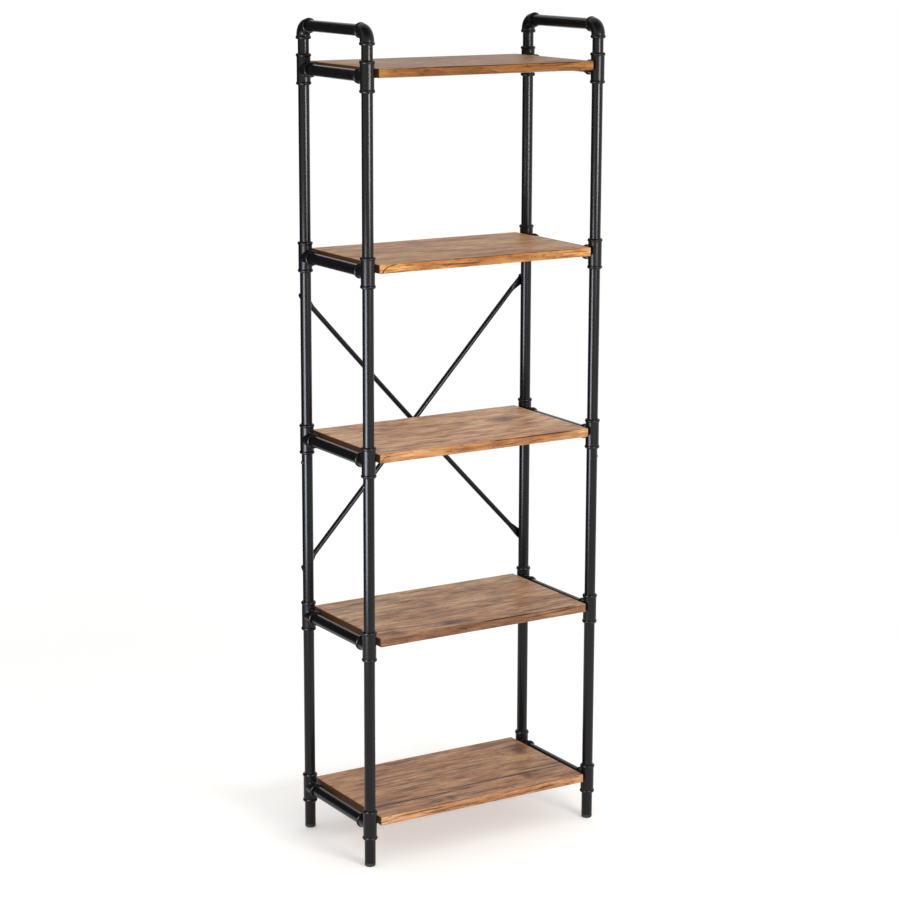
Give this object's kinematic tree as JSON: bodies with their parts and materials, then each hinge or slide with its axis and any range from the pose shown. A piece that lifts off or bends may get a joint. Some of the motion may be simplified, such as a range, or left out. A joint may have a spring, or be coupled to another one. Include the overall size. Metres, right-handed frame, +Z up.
{
  "type": "pipe shelving unit",
  "caption": "Free-standing open shelving unit: wooden boards on painted steel pipe side frames with cast tees and elbows, handle rails on top and a crossed rear brace.",
  "frame": {"origin": "on the floor, at the centre of the whole unit's footprint box", "axes": "+Z up, +Y towards the back where the cross brace is, +X to the right seen from the front"},
  "size_m": [0.6, 0.326, 1.8025],
  "materials": {
    "pipe": "satin near-black powder coat on steel tube",
    "cast_fitting": "matt near-black coat on cast iron fittings, slightly grainy",
    "brace_rod": "satin near-black powder coat on round steel rod",
    "bracket": "matt near-black coat on flat steel tabs",
    "shelf_wood": "brown wood with a clear satin coat, edges lightly rounded",
    "foot_plastic": "matt black moulded plastic",
    "fastener": "blackened steel, slightly oily",
    "bare_steel": "plain drawn steel, hidden inside"
  },
  "bodies": {
    "root": {"brace_cap_nuts": "fastener", "brace_rod_front": "brace_rod", "brace_rod_rear": "brace_rod", "brace_studs": "bare_steel", "brace_washers": "fastener", "elbow_back_left": "cast_fitting", "elbow_back_right": "cast_fitting", "elbow_front_left": "cast_fitting", "elbow_front_right": "cast_fitting", "fitting_grub_screws": "fastener", "foot_caps": "foot_plastic", "lower_post_back_left": "pipe", "lower_post_back_right": "pipe", "lower_post_front_left": "pipe", "lower_post_front_right": "pipe", "post_joint_screws": "fastener", "post_sleeves": "bare_steel", "shelf_board_1": "shelf_wood", "shelf_board_2": "shelf_wood", "shelf_board_3": "shelf_wood", "shelf_board_4": "shelf_wood", "shelf_board_5": "shelf_wood", "shelf_brackets": "bracket", "shelf_screws": "fastener", "side_rail_1_left": "pipe", "side_rail_1_right": "pipe", "side_rail_2_left": "pipe", "side_rail_2_right": "pipe", "side_rail_3_left": "pipe", "side_rail_3_right": "pipe", "side_rail_4_left": "pipe", "side_rail_4_right": "pipe", "side_rail_5_left": "pipe", "side_rail_5_right": "pipe", "tee_1_back_left": "cast_fitting", "tee_1_back_right": "cast_fitting", "tee_1_front_left": "cast_fitting", "tee_1_front_right": "cast_fitting", "tee_2_back_left": "cast_fitting", "tee_2_back_right": "cast_fitting", "tee_2_front_left": "cast_fitting", "tee_2_front_right": "cast_fitting", "tee_3_back_left": "cast_fitting", "tee_3_back_right": "cast_fitting", "tee_3_front_left": "cast_fitting", "tee_3_front_right": "cast_fitting", "tee_4_back_left": "cast_fitting", "tee_4_back_right": "cast_fitting", "tee_4_front_left": "cast_fitting", "tee_4_front_right": "cast_fitting", "tee_5_back_left": "cast_fitting", "tee_5_back_right": "cast_fitting", "tee_5_front_left": "cast_fitting", "tee_5_front_right": "cast_fitting", "top_rail_left": "pipe", "top_rail_right": "pipe", "upper_post_back_left": "pipe", "upper_post_back_right": "pipe", "upper_post_front_left": "pipe", "upper_post_front_right": "pipe"}
  },
  "joints": []
}
